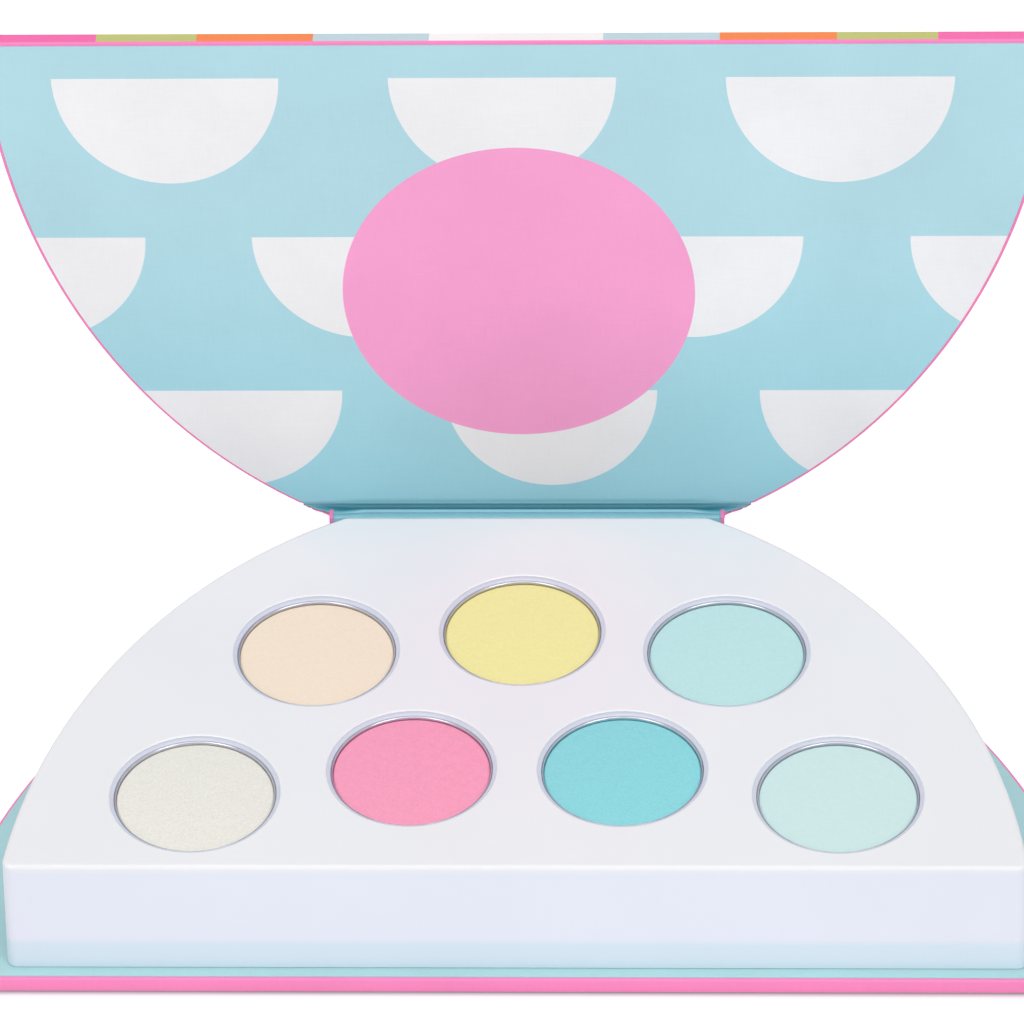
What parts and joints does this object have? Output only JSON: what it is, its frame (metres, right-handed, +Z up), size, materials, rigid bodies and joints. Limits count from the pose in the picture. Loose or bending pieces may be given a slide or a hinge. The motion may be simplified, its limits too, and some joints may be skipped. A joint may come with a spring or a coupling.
{
  "type": "eyeshadow palette",
  "caption": "Half-disc book-style eyeshadow palette with a hinged wrapped-board lid and a moulded tray of round pans, standing open.",
  "frame": {"origin": "middle of the base's flat underside, halfway between its straight front edge and the spine's outer face", "axes": "+Z up, -Y towards the front (the straight edge of the base), +X to the right"},
  "size_m": [0.1852, 0.102, 0.1161],
  "materials": {
    "greyboard": "matte grey board",
    "pink_paper": "satin laminated paper",
    "printed_paper": "satin laminated paper with printed bands",
    "teal_paper": "satin laminated paper",
    "printed_teal_paper": "satin laminated paper with printed half-discs",
    "white_plastic": "glossy white moulded plastic",
    "infill_paper": "plain uncoated paper",
    "tape": "double-sided tape",
    "magnet": "nickel-plated magnet",
    "steel": "zinc-plated steel",
    "pan_metal": "drawn sheet metal",
    "powder_cream": "pressed powder",
    "powder_pink": "pressed powder",
    "powder_turquoise": "pressed powder",
    "powder_aqua": "pressed powder",
    "powder_peach": "pressed powder",
    "powder_yellow": "pressed powder",
    "powder_mint": "pressed powder"
  },
  "bodies": {
    "base": {"base_board": "greyboard", "base_wrap": "pink_paper", "base_infill": "infill_paper", "base_liner": "teal_paper", "spine_board": "greyboard", "spine_liner": "teal_paper", "tray": "white_plastic", "tray_tape": "tape", "tray_magnets": "magnet", "pan_tapes": "tape", "pan_cream": "pan_metal", "pan_pink": "pan_metal", "pan_turquoise": "pan_metal", "pan_aqua": "pan_metal", "pan_peach": "pan_metal", "pan_yellow": "pan_metal", "pan_mint": "pan_metal", "powder_cream": "powder_cream", "powder_pink": "powder_pink", "powder_turquoise": "powder_turquoise", "powder_aqua": "powder_aqua", "powder_peach": "powder_peach", "powder_yellow": "powder_yellow", "powder_mint": "powder_mint", "hinge_liner": "teal_paper", "hinge_wrap": "pink_paper"},
    "lid": {"lid_board": "greyboard", "lid_wrap": "printed_paper", "lid_infill": "infill_paper", "lid_liner": "printed_teal_paper", "lid_plates": "steel"}
  },
  "joints": [
    {"name": "lid_hinge", "type": "hinge", "parent": "base", "child": "lid", "pos_m": [0, 0.0457, 0.02505], "axis": [1, 0, 0], "range_deg": [-85.25, 94.75], "deforming": ["hinge_liner", "hinge_wrap"]}
  ]
}
